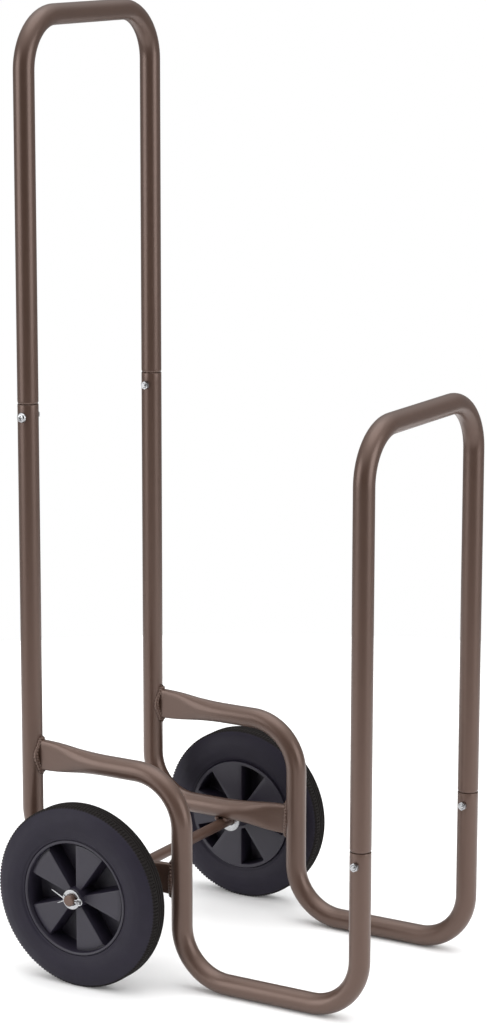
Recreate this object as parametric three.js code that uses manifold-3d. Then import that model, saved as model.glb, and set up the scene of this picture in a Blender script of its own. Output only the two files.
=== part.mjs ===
// Wheeled firewood log rack: two bent-tube side frames, a push-handle hoop, a front hoop,
// and a welded axle with two moulded wheels held by washers and split pins.
// Millimetres, +Z up, +X to the front, +Y to the left, origin on the floor in the middle of the footprint.
import * as THREE from 'three';
import { mergeVertices } from 'three/addons/utils/BufferGeometryUtils.js';
import Module from 'manifold-3d';

const wasm = await Module();
wasm.setup();

// Driving dimensions
const TUBE_D = 22;
const TUBE_WALL = 1.2;
const TRACK = 238;
const WHEELBASE = 396;
const BEND_R = 55;
const POST_BEND_R = 52;
const HANDLE_Z = 995;
const FRONT_HOOP_Z = 607;
const REAR_JOINT_Z = 599;
const FRONT_JOINT_Z = 181.5;
const UPPER_RAIL_Z = 224;
const LOWER_RUN_Z = 114.3;
const RAIL_DROP_X = -12;
const NECK_LENGTH = 45;
const NECK_STEP = 1.5;
const FLAT_END_HEIGHT = 33;
const FLAT_END_THICKNESS = 8;
const FLAT_END_LENGTH = 85;
const WHEEL_R = 97;
const WHEEL_X = -105;
const WHEEL_CENTRE_Y = 168;
const TYRE_WIDTH = 32;
const RIM_R = 61.8;
const AXLE_D = 12;
const AXLE_LENGTH = 385;
const SCREW_DROP = 13;
const SCREW_D = 5;

// Values that follow from them
const GAP = 0.3;
const TUBE_R = TUBE_D / 2;
const HALF_TRACK = TRACK / 2;
const HALF_BASE = WHEELBASE / 2;
const BOTTOM_Z = TUBE_R;
const TUBE_SIDES = 16;
const TUBE_INNER_SIDES = 12;
const BEND_STEPS = 5;

const paint = new THREE.MeshStandardMaterial({ color: 0x6f5e54, roughness: 0.45, metalness: 0.35 });
const rubber = new THREE.MeshStandardMaterial({ color: 0x2f2c32, roughness: 0.8, metalness: 0 });
const plastic = new THREE.MeshStandardMaterial({ color: 0x403d4a, roughness: 0.5, metalness: 0 });
const zinc = new THREE.MeshStandardMaterial({ color: 0xd2d4d6, roughness: 0.3, metalness: 1 });

// A path through given stations, each with its own tangent, walked evenly by station number.
class StationPath extends THREE.Curve {
  constructor(stations) {
    super();
    this.stations = stations;
  }

  getUtoTmapping(u) {
    return u;
  }

  blend(t, key) {
    const place = t * (this.stations.length - 1);
    const index = Math.min(Math.floor(place), this.stations.length - 2);
    const from = this.stations[index][key];
    return from.clone().lerp(this.stations[index + 1][key], place - index);
  }

  getPoint(t) {
    return this.blend(t, 'point');
  }

  getTangent(t) {
    return this.blend(t, 'tangent').normalize();
  }
}

// Stations along straight runs between corners, with each corner rounded to a bend radius.
// marks are extra distances from the start, and endMarks from the end, where a section changes.
function bentPath(corners, radii, marks = [], endMarks = []) {
  const last = corners.length - 1;
  const along = (a, b) => corners[b].clone().sub(corners[a]).normalize();
  const stations = [];
  const add = (point, tangent) => stations.push({ point, tangent });
  add(corners[0].clone(), along(0, 1));
  for (const d of marks) {
    add(corners[0].clone().addScaledVector(along(0, 1), d), along(0, 1));
  }
  for (let i = 1; i < last; i += 1) {
    const inward = along(i - 1, i);
    const outward = along(i, i + 1);
    const angle = inward.angleTo(outward);
    const axis = inward.clone().cross(outward).normalize();
    const setback = radii[i - 1] * Math.tan(angle / 2);
    const start = corners[i].clone().addScaledVector(inward, -setback);
    const centre = start.clone().addScaledVector(axis.clone().cross(inward), radii[i - 1]);
    for (let k = 0; k <= BEND_STEPS; k += 1) {
      const turn = (angle * k) / BEND_STEPS;
      const point = start.clone().sub(centre).applyAxisAngle(axis, turn).add(centre);
      add(point, inward.clone().applyAxisAngle(axis, turn));
    }
  }
  for (const d of [...endMarks].reverse()) {
    add(corners[last].clone().addScaledVector(along(last - 1, last), -d), along(last - 1, last));
  }
  add(corners[last].clone(), along(last - 1, last));
  return new StationPath(stations);
}

// A regular polygon with flats square to the axes, touching a circle of radius r from outside.
function polygon(r, sides) {
  const corner = r / Math.cos(Math.PI / sides);
  return Array.from({ length: sides }, (_, i) => {
    const angle = ((2 * i + 1) * Math.PI) / sides;
    return new THREE.Vector2(corner * Math.cos(angle), corner * Math.sin(angle));
  });
}

function sweep(path, outline, holes) {
  const shape = new THREE.Shape(outline);
  shape.holes = holes.map((hole) => new THREE.Path(hole));
  const steps = path.stations.length - 1;
  return new THREE.ExtrudeGeometry(shape, { steps, extrudePath: path, curveSegments: 1 });
}

function tube(path) {
  const inner = polygon(TUBE_R - TUBE_WALL, TUBE_INNER_SIDES).reverse();
  return sweep(path, polygon(TUBE_R, TUBE_SIDES), [inner]);
}

// Moves every vertex by a function of its place.
function reshape(geometry, move) {
  const place = geometry.attributes.position;
  const v = new THREE.Vector3();
  for (let i = 0; i < place.count; i += 1) {
    v.fromBufferAttribute(place, i);
    move(v);
    place.setXYZ(i, v.x, v.y, v.z);
  }
  return geometry;
}

// Draws a hoop's leg ends in to a neck that slides into the tube below the joint.
function swage(geometry, x, jointZ) {
  return reshape(geometry, (v) => {
    if (v.z > jointZ + 2 * GAP) {
      return;
    }
    const centre = new THREE.Vector3(x, Math.sign(v.y) * HALF_TRACK, v.z);
    const outward = v.clone().sub(centre);
    v.copy(centre).add(outward.setLength(outward.length() - NECK_STEP));
  });
}

// Presses the end of a tube that runs along X flat, tall and thin, easing back to round.
function flattenEnd(geometry, endX, centreZ) {
  return reshape(geometry, (v) => {
    const near = Math.abs(v.x - endX) / FLAT_END_LENGTH;
    if (near > 1 || Math.abs(v.z - centreZ) > TUBE_R + 1) {
      return;
    }
    const share = (1 + Math.cos(Math.PI * near)) / 2;
    v.z = centreZ + (v.z - centreZ) * THREE.MathUtils.lerp(1, FLAT_END_HEIGHT / TUBE_D, share);
    v.y *= THREE.MathUtils.lerp(1, FLAT_END_THICKNESS / TUBE_D, share);
  });
}

function toSolid(geometry) {
  const bare = geometry.clone();
  bare.deleteAttribute('normal');
  bare.deleteAttribute('uv');
  const merged = mergeVertices(bare, 1e-3);
  const vertProperties = new Float32Array(merged.attributes.position.array);
  const triVerts = new Uint32Array(merged.index.array);
  return new wasm.Manifold(new wasm.Mesh({ numProp: 3, vertProperties, triVerts }));
}

function toGeometry(solid) {
  const { vertProperties, triVerts } = solid.getMesh();
  const geometry = new THREE.BufferGeometry();
  geometry.setAttribute('position', new THREE.Float32BufferAttribute(vertProperties, 3));
  geometry.setIndex(Array.from(triVerts));
  geometry.computeVertexNormals();
  return geometry;
}

function cut(geometry, cutters) {
  const carve = (solid, cutter) => solid.subtract(toSolid(cutter));
  return toGeometry(cutters.reduce(carve, toSolid(geometry)));
}

// A round drill along Y, or along X, for screw and pin holes.
function drill(radius, length, along, x, y, z) {
  const bit = new THREE.CylinderGeometry(radius, radius, length, 12);
  if (along === 'x') {
    bit.rotateZ(Math.PI / 2);
  }
  return bit.translate(x, y, z);
}

function screwHole(x, y, jointZ) {
  return drill(SCREW_D / 2 + GAP + 0.1, TUBE_D + 10, 'y', x, y, jointZ - SCREW_DROP);
}

// An upside-down U of tube with swaged leg ends.
function hoop(x, topZ, jointZ) {
  const endZ = jointZ - NECK_LENGTH;
  const corners = [
    new THREE.Vector3(x, -HALF_TRACK, endZ),
    new THREE.Vector3(x, -HALF_TRACK, topZ),
    new THREE.Vector3(x, HALF_TRACK, topZ),
    new THREE.Vector3(x, HALF_TRACK, endZ),
  ];
  const shoulder = [NECK_LENGTH + GAP, NECK_LENGTH + GAP + NECK_STEP];
  const bent = bentPath(corners, [BEND_R, BEND_R], shoulder, shoulder);
  const necked = swage(tube(bent), x, jointZ);
  const holes = [-HALF_TRACK, HALF_TRACK].map((y) => screwHole(x, y, jointZ));
  return cut(necked, holes);
}

const FLAT_MARKS = [0.2, 0.4, 0.6, 0.8, 1].map((share) => share * FLAT_END_LENGTH);

// One tube from the handle joint down the back, bent forward into the lower run.
function rearPost() {
  const frontEnd = RAIL_DROP_X - TUBE_R - GAP;
  const corners = [
    new THREE.Vector3(-HALF_BASE, 0, REAR_JOINT_Z - GAP),
    new THREE.Vector3(-HALF_BASE, 0, LOWER_RUN_Z),
    new THREE.Vector3(frontEnd, 0, LOWER_RUN_Z),
  ];
  const bent = tube(bentPath(corners, [POST_BEND_R], [], FLAT_MARKS));
  const flat = flattenEnd(bent, frontEnd, LOWER_RUN_Z);
  return cut(flat, [screwHole(-HALF_BASE, 0, REAR_JOINT_Z)]);
}

// One tube from the rear post forward, down, along the floor and up the front.
function sideRail() {
  const rearEnd = -HALF_BASE + TUBE_R + GAP;
  const corners = [
    new THREE.Vector3(rearEnd, 0, UPPER_RAIL_Z),
    new THREE.Vector3(RAIL_DROP_X, 0, UPPER_RAIL_Z),
    new THREE.Vector3(RAIL_DROP_X, 0, BOTTOM_Z),
    new THREE.Vector3(HALF_BASE, 0, BOTTOM_Z),
    new THREE.Vector3(HALF_BASE, 0, FRONT_JOINT_Z - GAP),
  ];
  const bent = tube(bentPath(corners, [BEND_R, BEND_R, BEND_R], FLAT_MARKS));
  const flat = flattenEnd(bent, rearEnd, UPPER_RAIL_Z);
  return cut(flat, [screwHole(HALF_BASE, 0, FRONT_JOINT_Z)]);
}

// A ring or wheel profile of [radius, distance along Y] corners, turned about Y.
function turned(corners, segments) {
  const profile = corners.map(([r, y]) => new THREE.Vector2(r, y));
  return new THREE.LatheGeometry([...profile, profile[0]], segments);
}

function tyre() {
  const half = TYRE_WIDTH / 2;
  const side = [
    [RIM_R + 0.4, half - 3],
    [RIM_R + 6, half - 1],
    [RIM_R + 16, half],
    [WHEEL_R - 9, half - 1.5],
    [WHEEL_R - 3, half - 4],
    [WHEEL_R, half - 7],
  ];
  const lower = side.map(([r, y]) => [r, -y]);
  return turned([...lower, ...side.reverse()], 40);
}

const HUB_R = 11;
const HUB_INNER_Y = -35.1;
const HUB_OUTER_Y = 16.4;
const RIM_REAR_Y = -15;
const RIM_LIP_Y = 13;
const SPOKE_FACE_Y = 10;
const SPOKE_COUNT = 5;
const SPOKE_HALF_ANGLE = THREE.MathUtils.degToRad(18);
const RIM_SKIN = 2.5;

// A sector of a ring between two radii, drawn in by an inset at its straight sides, standing on Y.
function sectorPocket(middle, halfAngle, inset, innerR, outerR, fromY, toY) {
  const narrowed = (r) => halfAngle - Math.asin(inset / r);
  const at = (r, angle) => new THREE.Vector2(r * Math.cos(angle), -r * Math.sin(angle));
  const inner = [-1, 1].map((s) => at(innerR, middle + s * narrowed(innerR)));
  const outer = [1, 0.5, 0, -0.5, -1].map((s) => at(outerR, middle + s * narrowed(outerR)));
  const shape = new THREE.Shape([...inner, ...outer]);
  const pocket = new THREE.ExtrudeGeometry(shape, { depth: toY - fromY, bevelEnabled: false });
  return pocket.rotateX(-Math.PI / 2).translate(0, fromY, 0);
}

// Moulded wheel centre: front-facing spokes closed at the face, and gaps closed at the back.
function rim() {
  const boreR = AXLE_D / 2 + GAP + 0.1;
  const blank = turned([
    [boreR, HUB_INNER_Y],
    [HUB_R, HUB_INNER_Y],
    [HUB_R + 1.5, RIM_REAR_Y],
    [RIM_R, RIM_REAR_Y],
    [RIM_R, RIM_LIP_Y],
    [RIM_R - 3, RIM_LIP_Y],
    [RIM_R - 3, SPOKE_FACE_Y],
    [HUB_R, SPOKE_FACE_Y],
    [HUB_R, HUB_OUTER_Y],
    [boreR, HUB_OUTER_Y],
  ], 40);
  const pockets = [];
  for (let i = 0; i < SPOKE_COUNT; i += 1) {
    const spoke = (i * 2 * Math.PI) / SPOKE_COUNT;
    const gap = spoke + Math.PI / SPOKE_COUNT;
    const floorY = RIM_REAR_Y + RIM_SKIN;
    const backY = SPOKE_FACE_Y - RIM_SKIN;
    pockets.push(sectorPocket(gap, SPOKE_HALF_ANGLE, 0, 13, RIM_R - 3.5, floorY, SPOKE_FACE_Y + 1));
    pockets.push(sectorPocket(spoke, SPOKE_HALF_ANGLE, RIM_SKIN, 16, RIM_R - 5, RIM_REAR_Y - 1, backY));
  }
  return cut(blank, pockets);
}

const PIN_WIRE_R = 0.8;
const PIN_LEG_OFFSET = 1.05;
const PIN_EYE_R = 3.2;
const PIN_INSET = 3.2;

function axle() {
  const bar = new THREE.CylinderGeometry(AXLE_D / 2, AXLE_D / 2, AXLE_LENGTH, 24);
  const pinY = AXLE_LENGTH / 2 - PIN_INSET;
  const holes = [-pinY, pinY].map((y) => drill(2.3, AXLE_D + 4, 'x', 0, y, 0));
  return cut(bar, holes);
}

function washer(outerR, thickness) {
  const boreR = AXLE_D / 2 + GAP + 0.1;
  const half = thickness / 2;
  return turned([[boreR, -half], [outerR, -half], [outerR, half], [boreR, half]], 32);
}

// Split pin bent from one wire: an eye in front, two legs side by side, splayed behind.
function splitPin() {
  const exit = AXLE_D / 2 + 1;
  const eyeX = exit + PIN_EYE_R + 1.5;
  const points = [[-exit - 15, 8.2], [-exit - 1, PIN_LEG_OFFSET + 0.3], [-exit + 1, PIN_LEG_OFFSET]];
  points.push([exit, PIN_LEG_OFFSET]);
  for (let degrees = 150; degrees >= -150; degrees -= 30) {
    const turn = THREE.MathUtils.degToRad(degrees);
    points.push([eyeX + PIN_EYE_R * Math.cos(turn), PIN_EYE_R * Math.sin(turn)]);
  }
  points.push([exit, -PIN_LEG_OFFSET], [-exit + 1, -PIN_LEG_OFFSET]);
  points.push([-exit - 1, -PIN_LEG_OFFSET - 0.3], [-exit - 8, -5]);
  const line = points.map(([x, z]) => new THREE.Vector3(x, 0, z));
  const stations = line.map((point, i) => {
    const before = line[Math.max(i - 1, 0)];
    const after = line[Math.min(i + 1, line.length - 1)];
    return { point, tangent: after.clone().sub(before).normalize() };
  });
  return sweep(new StationPath(stations), polygon(PIN_WIRE_R, 8), []);
}

const HEAD_R = 5.25;
const HEAD_HEIGHT = 3.2;
const NUT_HEIGHT = 4;
const NUT_ACROSS_FLATS = 8;

// Pan-head screw along Y through a tube, with its head at -Y.
function screw() {
  const seat = -TUBE_R - GAP;
  const tip = TUBE_R + GAP + NUT_HEIGHT + 2.5;
  const shank = SCREW_D / 2;
  const profile = [
    [0, seat - HEAD_HEIGHT],
    [2.6, seat - HEAD_HEIGHT + 0.15],
    [4.4, seat - HEAD_HEIGHT + 0.9],
    [HEAD_R, seat - HEAD_HEIGHT + 2.2],
    [HEAD_R, seat],
    [shank, seat],
    [shank, tip - 0.6],
    [shank - 0.6, tip],
    [0, tip],
  ];
  return new THREE.LatheGeometry(profile.map(([r, y]) => new THREE.Vector2(r, y)), 20);
}

function nut() {
  const shape = new THREE.Shape(polygon(NUT_ACROSS_FLATS / 2, 6));
  shape.holes.push(new THREE.Path(polygon(SCREW_D / 2 + GAP, 12).reverse()));
  const body = new THREE.ExtrudeGeometry(shape, { depth: NUT_HEIGHT, bevelEnabled: false });
  return body.rotateX(-Math.PI / 2).translate(0, TUBE_R + GAP, 0);
}

const group = new THREE.Group();

function place(parent, name, geometry, material, x = 0, y = 0, z = 0) {
  const mesh = new THREE.Mesh(geometry, material);
  mesh.name = name;
  mesh.position.set(x, y, z);
  parent.add(mesh);
  return mesh;
}

place(group, 'handle_hoop', hoop(-HALF_BASE, HANDLE_Z, REAR_JOINT_Z), paint);
place(group, 'front_hoop', hoop(HALF_BASE, FRONT_HOOP_Z, FRONT_JOINT_Z), paint);
place(group, 'axle', axle(), paint, WHEEL_X, 0, WHEEL_R);

const WASHER_T = 2;
const OUTER_WASHER_R = 10.5;
const INNER_WASHER_R = 13;

for (const [side, name] of [[-1, 'right'], [1, 'left']]) {
  place(group, `rear_post_${name}`, rearPost(), paint, 0, side * HALF_TRACK, 0);
  place(group, `side_rail_${name}`, sideRail(), paint, 0, side * HALF_TRACK, 0);

  const wheel = new THREE.Group();
  wheel.position.set(WHEEL_X, side * WHEEL_CENTRE_Y, WHEEL_R);
  wheel.rotation.x = side < 0 ? Math.PI : 0;
  group.add(wheel);
  place(wheel, `tyre_${name}`, tyre(), rubber);
  place(wheel, `rim_${name}`, rim(), plastic);
  const outerY = HUB_OUTER_Y + GAP + WASHER_T / 2;
  const innerY = HUB_INNER_Y - GAP - WASHER_T / 2;
  place(wheel, `outer_washer_${name}`, washer(OUTER_WASHER_R, WASHER_T), zinc, 0, outerY, 0);
  place(wheel, `inner_washer_${name}`, washer(INNER_WASHER_R, WASHER_T), zinc, 0, innerY, 0);
  const pinY = side * (AXLE_LENGTH / 2 - PIN_INSET);
  place(group, `split_pin_${name}`, splitPin(), zinc, WHEEL_X, pinY, WHEEL_R);

  const joints = [['rear', -HALF_BASE, REAR_JOINT_Z], ['front', HALF_BASE, FRONT_JOINT_Z]];
  for (const [end, x, jointZ] of joints) {
    const fastener = new THREE.Group();
    const headOutward = end === 'rear' && name === 'right';
    fastener.position.set(x, side * HALF_TRACK, jointZ - SCREW_DROP);
    fastener.rotation.x = headOutward ? 0 : Math.PI;
    group.add(fastener);
    place(fastener, `screw_${end}_${name}`, screw(), zinc);
    place(fastener, `nut_${end}_${name}`, nut(), zinc);
  }
}

export default group;
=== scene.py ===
"""A wheeled firewood log rack: bent and welded tubes, moulded wheels and zinc-plated hardware."""

import math

import bpy
import numpy as np
from bpy.props import FloatProperty, FloatVectorProperty, IntProperty, PointerProperty
from mathutils import Matrix, Vector


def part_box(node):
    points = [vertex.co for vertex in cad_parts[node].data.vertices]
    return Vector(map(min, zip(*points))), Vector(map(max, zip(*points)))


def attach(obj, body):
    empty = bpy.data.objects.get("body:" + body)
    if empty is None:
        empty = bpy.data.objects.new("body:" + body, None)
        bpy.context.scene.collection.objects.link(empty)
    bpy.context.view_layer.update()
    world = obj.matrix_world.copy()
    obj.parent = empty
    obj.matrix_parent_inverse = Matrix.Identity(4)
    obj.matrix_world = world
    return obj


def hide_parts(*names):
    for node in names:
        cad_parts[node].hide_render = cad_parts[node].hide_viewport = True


bl_info = {
    "name": "Firewood Log Rack",
    "version": (1, 0, 0),
    "blender": (4, 5, 0),
    "location": "View3D > Sidebar > Log Rack",
    "description": "Builds a wheeled firewood rack of bent tube with its studio",
    "category": "Add Mesh",
}

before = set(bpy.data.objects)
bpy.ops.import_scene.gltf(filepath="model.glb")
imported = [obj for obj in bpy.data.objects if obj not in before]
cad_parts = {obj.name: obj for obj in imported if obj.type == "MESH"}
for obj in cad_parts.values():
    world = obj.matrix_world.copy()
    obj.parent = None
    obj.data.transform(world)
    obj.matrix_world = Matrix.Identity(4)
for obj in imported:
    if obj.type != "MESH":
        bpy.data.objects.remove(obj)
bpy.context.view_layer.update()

MM = 0.001
FRAME_BODY = "frame"
SIDES = (("right", -1.0), ("left", 1.0))


# ---------------------------------------------------------------- places taken from the frame

def middle(node):
    """The middle of a node's box."""
    low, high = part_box(node)
    return (low + high) / 2


HOOP_LOW, HOOP_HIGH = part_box("handle_hoop")
FRONT_LOW, FRONT_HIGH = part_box("front_hoop")
POST_LOW, POST_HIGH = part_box("rear_post_right")
_, RAIL_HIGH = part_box("side_rail_right")
AXLE_LOW, AXLE_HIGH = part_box("axle")
TYRE_LOW, TYRE_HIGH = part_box("tyre_left")
RIM_LOW, RIM_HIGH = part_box("rim_left")

GAP = 0.3 * MM
SCREW_DROP = 13 * MM
TUBE_R = (HOOP_HIGH.x - HOOP_LOW.x) / 2
HALF_TRACK = HOOP_HIGH.y - TUBE_R
REAR_X = middle("handle_hoop").x
FRONT_X = middle("front_hoop").x
REAR_JOINT_Z = POST_HIGH.z + GAP
FRONT_JOINT_Z = middle("screw_front_right").z + SCREW_DROP
DROP_X = POST_HIGH.x + GAP + TUBE_R
FLAT_HALF_HEIGHT = 16.5 * MM
FLAT_HALF_THICKNESS = 4 * MM
LOWER_RUN_Z = POST_LOW.z + FLAT_HALF_HEIGHT
UPPER_RAIL_Z = RAIL_HIGH.z - FLAT_HALF_HEIGHT
WHEEL_X = middle("tyre_left").x
WHEEL_Z = middle("tyre_left").z
WHEEL_Y = middle("tyre_left").y
WHEEL_R = (TYRE_HIGH.z - TYRE_LOW.z) / 2
RIM_R = (RIM_HIGH.z - RIM_LOW.z) / 2
HUB_INNER_Y = RIM_LOW.y - WHEEL_Y
HUB_OUTER_Y = RIM_HIGH.y - WHEEL_Y
AXLE_R = (AXLE_HIGH.z - AXLE_LOW.z) / 2

MOUTH_DEPTH = 60 * MM
SHOULDER_LENGTH = 3 * MM
BACK_WALL = 3.9 * MM
PRESS_OVERLAP = 1.5 * MM
GROOVE_PLACES = (-1.2 * MM, 2.3 * MM, 5.8 * MM)
GROOVE_HALF_WIDTH = 0.75 * MM
NOTCH_DEPTH = 1 * MM
NOTCH_COLUMNS = 5
PIN_WIRE_R = 0.8 * MM
PIN_EYE_R = 3.2 * MM
HEAD_HEIGHT_MM = 3.2
SHANK_R_MM = 2.45
THREAD_PITCH_MM = 0.8
THREAD_DEPTH_MM = 0.42


# ---------------------------------------------------------------- colour

def linear(code):
    """An sRGB hex colour such as #6F5E54 as linear red, green, blue."""
    share = np.array([int(code[i:i + 2], 16) for i in (1, 3, 5)]) / 255
    return tuple(np.where(share <= 0.04045, share / 12.92, ((share + 0.055) / 1.055) ** 2.4))


def colour(name, description, code):
    """A colour setting with its default given as an sRGB hex value."""
    return FloatVectorProperty(
        name=name, description=description, subtype="COLOR", size=3, min=0, max=1, default=linear(code))


def length(name, description, millimetres):
    """A length setting with its default given in millimetres."""
    return FloatProperty(
        name=name, description=description, subtype="DISTANCE", unit="LENGTH", default=millimetres * MM)


class RackSizes(bpy.types.PropertyGroup):
    """Sizes that finish the shapes the frame gives."""

    bend_radius: length("Bend radius", "Centreline radius of the hoop and rail bends", 55)
    post_bend_radius: length("Post bend radius", "Centreline radius of the rear posts' lower bend", 52)
    wall: length("Tube wall", "Wall thickness of the tubes", 1.2)
    neck_step: length("Neck step", "How far a swaged neck is drawn in from the tube", 1.6)
    flat_length: length("Flattened length", "Length over which a pressed tube end eases back to round", 85)
    weld_radius: length("Weld radius", "Radius of a weld bead", 2.9)
    weld_pitch: length("Weld pitch", "Distance from one weld ripple to the next", 3.4)
    tread_pitch: length("Tread pitch", "Distance from one edge notch of the tread to the next", 3.6)
    groove_depth: length("Tread groove", "Depth of the grooves round the tread", 1.3)
    spoke_recess: length("Spoke recess", "How far the spokes lie below the rim's lip", 4)
    spoke_count: IntProperty(name="Spokes", description="Number of wheel spokes", min=3, max=9, default=5)


class RackColours(bpy.types.PropertyGroup):
    """Colours of the finishes."""

    paint: colour("Frame paint", "Bronze-brown powder coat", "#46352D")
    sheen: colour("Frame sheen", "Warm tint that the bronze pigment gives its reflections", "#FFE3D8")
    rubber: colour("Tyre sidewall", "Slate-black rubber", "#1B1724")
    tread: colour("Tyre tread", "Darker brown-black of the tread", "#14100F")
    plastic: colour("Wheel plastic", "Black moulded plastic", "#201C29")
    zinc: colour("Zinc plate", "Bright zinc on the hardware", "#A9AAAC")
    floor: colour("Floor", "Pale studio floor", "#F4F4F4")


# ---------------------------------------------------------------- mesh making

def unit(v):
    """Rows of v scaled to length one."""
    return v / np.linalg.norm(v, axis=-1, keepdims=True)


def grid_quads(rows, columns, wrap_rows=False):
    """Quads of a grid of points whose columns always wrap round, and whose rows may."""
    row = np.arange(rows if wrap_rows else rows - 1)[:, None]
    column = np.arange(columns)[None, :]
    next_row = (row + 1) % rows
    next_column = (column + 1) % columns
    corners = [row * columns + column, row * columns + next_column,
               next_row * columns + next_column, next_row * columns + column]
    return np.stack(np.broadcast_arrays(*corners), -1).reshape(-1, 4)


def fan(ring_start, columns, pole, reverse):
    """Triangles from one ring of a grid to a pole point."""
    a = ring_start + np.arange(columns)
    b = ring_start + (np.arange(columns) + 1) % columns
    triangles = np.stack([b, a, np.full(columns, pole)], -1)
    return triangles[:, ::-1] if reverse else triangles


def make_piece(name, points, wrap_rows=False, sharp=40.0):
    """A closed mesh from a grid of points, rows by columns by three. Columns wrap round. Rows either
    wrap too, or the first and last rows are each closed with a fan to their middle. Faces are turned
    outwards by the sign of the enclosed volume, and edges sharper than the given angle stay crisp."""
    rows, columns = points.shape[:2]
    vertices = points.reshape(-1, 3)
    faces = grid_quads(rows, columns, wrap_rows)
    triangles = np.zeros((0, 3), int)
    if not wrap_rows:
        poles = np.stack([points[0].mean(0), points[-1].mean(0)])
        vertices = np.concatenate([vertices, poles])
        count = rows * columns
        triangles = np.concatenate([
            fan(0, columns, count, False), fan((rows - 1) * columns, columns, count + 1, True)])
    halves = np.concatenate([faces[:, [0, 1, 2]], faces[:, [0, 2, 3]], triangles])
    a, b, c = (vertices[halves[:, i]] for i in range(3))
    if np.einsum("ij,ij->i", a, np.cross(b, c)).sum() < 0:
        faces, triangles = faces[:, ::-1], triangles[:, ::-1]
    mesh = bpy.data.meshes.new(name)
    mesh.from_pydata(vertices.tolist(), [], faces.tolist() + triangles.tolist())
    mesh.polygons.foreach_set("use_smooth", np.ones(len(mesh.polygons), bool))
    mesh.set_sharp_from_angle(angle=math.radians(sharp))
    mesh.update()
    piece = bpy.data.objects.new(name, mesh)
    bpy.context.scene.collection.objects.link(piece)
    return piece


def finish_piece(piece, body, slot, material, *nodes):
    """Gives a piece its material and its body, and hides the nodes that it stands for. The slot argument is
    not used.
    """
    piece.data.materials.append(material)
    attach(piece, body)
    if nodes:
        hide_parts(*nodes)
    return piece


def ring_points(profile, segments, centre, outward=1.0):
    """A profile of [radius, distance] corners turned about an axis along Y:
    x = r cos t, y = d, z = r sin t."""
    turn = np.linspace(0, 2 * np.pi, segments, endpoint=False)
    radius, distance = np.asarray(profile, float).T
    x = radius[:, None] * np.cos(turn)
    z = radius[:, None] * np.sin(turn)
    y = np.broadcast_to(outward * distance[:, None], x.shape)
    return np.stack([x, y, z], -1) + np.asarray(centre, float)


def rounded(corners, radius, steps=5):
    """An open outline with its inner corners rounded: each becomes the curve (1-t)^2 a + 2t(1-t) b + t^2 c
    between points the given distance, or less, along its two sides."""
    corners = np.asarray(corners, float)
    path = [corners[0]]
    for before, corner, after in zip(corners, corners[1:], corners[2:]):
        reach_in = min(radius, np.linalg.norm(corner - before) * 0.45)
        reach_out = min(radius, np.linalg.norm(after - corner) * 0.45)
        a = corner + (before - corner) / np.linalg.norm(before - corner) * reach_in
        c = corner + (after - corner) / np.linalg.norm(after - corner) * reach_out
        t = np.linspace(0, 1, steps)[:, None]
        path.extend((1 - t) ** 2 * a + 2 * t * (1 - t) * corner + t ** 2 * c)
    path.append(corners[-1])
    return np.array(path)


def bent_path(corners, radii, straight_step=0.012, bend_steps=20):
    """Points and directions along a tube's centreline: straight runs between corners, with each corner
    an arc of its bend radius, point = centre - n r cos a + d r sin a for the direction d coming in."""
    corners = [np.asarray(c, float) for c in corners]
    points, directions = [], []
    start = corners[0]
    for before, corner, after, radius in zip(corners, corners[1:], corners[2:], radii):
        d_in, d_out = unit(corner - before), unit(after - corner)
        angle = math.acos(float(np.clip(d_in @ d_out, -1, 1)))
        setback = radius * math.tan(angle / 2)
        normal = unit(d_out - (d_out @ d_in) * d_in)
        bend_start = corner - d_in * setback
        add_run(points, directions, start, bend_start, straight_step)
        turn = np.linspace(0, angle, bend_steps + 1)[:, None]
        points.append(bend_start + normal * radius * (1 - np.cos(turn)) + d_in * radius * np.sin(turn))
        directions.append(d_in * np.cos(turn) + normal * np.sin(turn))
        start = corner + d_out * setback
    add_run(points, directions, start, corners[-1], straight_step, True)
    return np.concatenate(points), np.concatenate(directions)


def add_run(points, directions, start, end, step, keep_end=False):
    """Adds evenly spaced points from start to end, leaving the start of the next bend to the bend."""
    count = max(2, int(np.linalg.norm(end - start) / step))
    share = np.linspace(0, 1, count + 1)[:, None]
    skip = 1 if points else 0
    last = None if keep_end else -1
    run = (start + share * (end - start))[skip:last]
    points.append(run)
    directions.append(np.broadcast_to(unit(end - start), run.shape))


def sweep(points, directions, side, half_side, half_up, power=None, columns=56):
    """A section carried along a path in a plane whose normal is side. The section is the superellipse
    side * b |cos t|^(2/p) + up * a |sin t|^(2/p), with up = side x direction. A round tube has p = 2."""
    turn = np.linspace(0, 2 * np.pi, columns, endpoint=False) + np.pi / columns
    power = np.full(len(points), 2.0) if power is None else power
    share = 2 / power[:, None]
    across = np.sign(np.cos(turn)) * np.abs(np.cos(turn)) ** share * np.asarray(half_side)[:, None]
    above = np.sign(np.sin(turn)) * np.abs(np.sin(turn)) ** share * np.asarray(half_up)[:, None]
    side = np.asarray(side, float)
    up = np.cross(side, directions)
    return points[:, None] + across[..., None] * side + above[..., None] * up[:, None]


# ---------------------------------------------------------------- tubes

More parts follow.
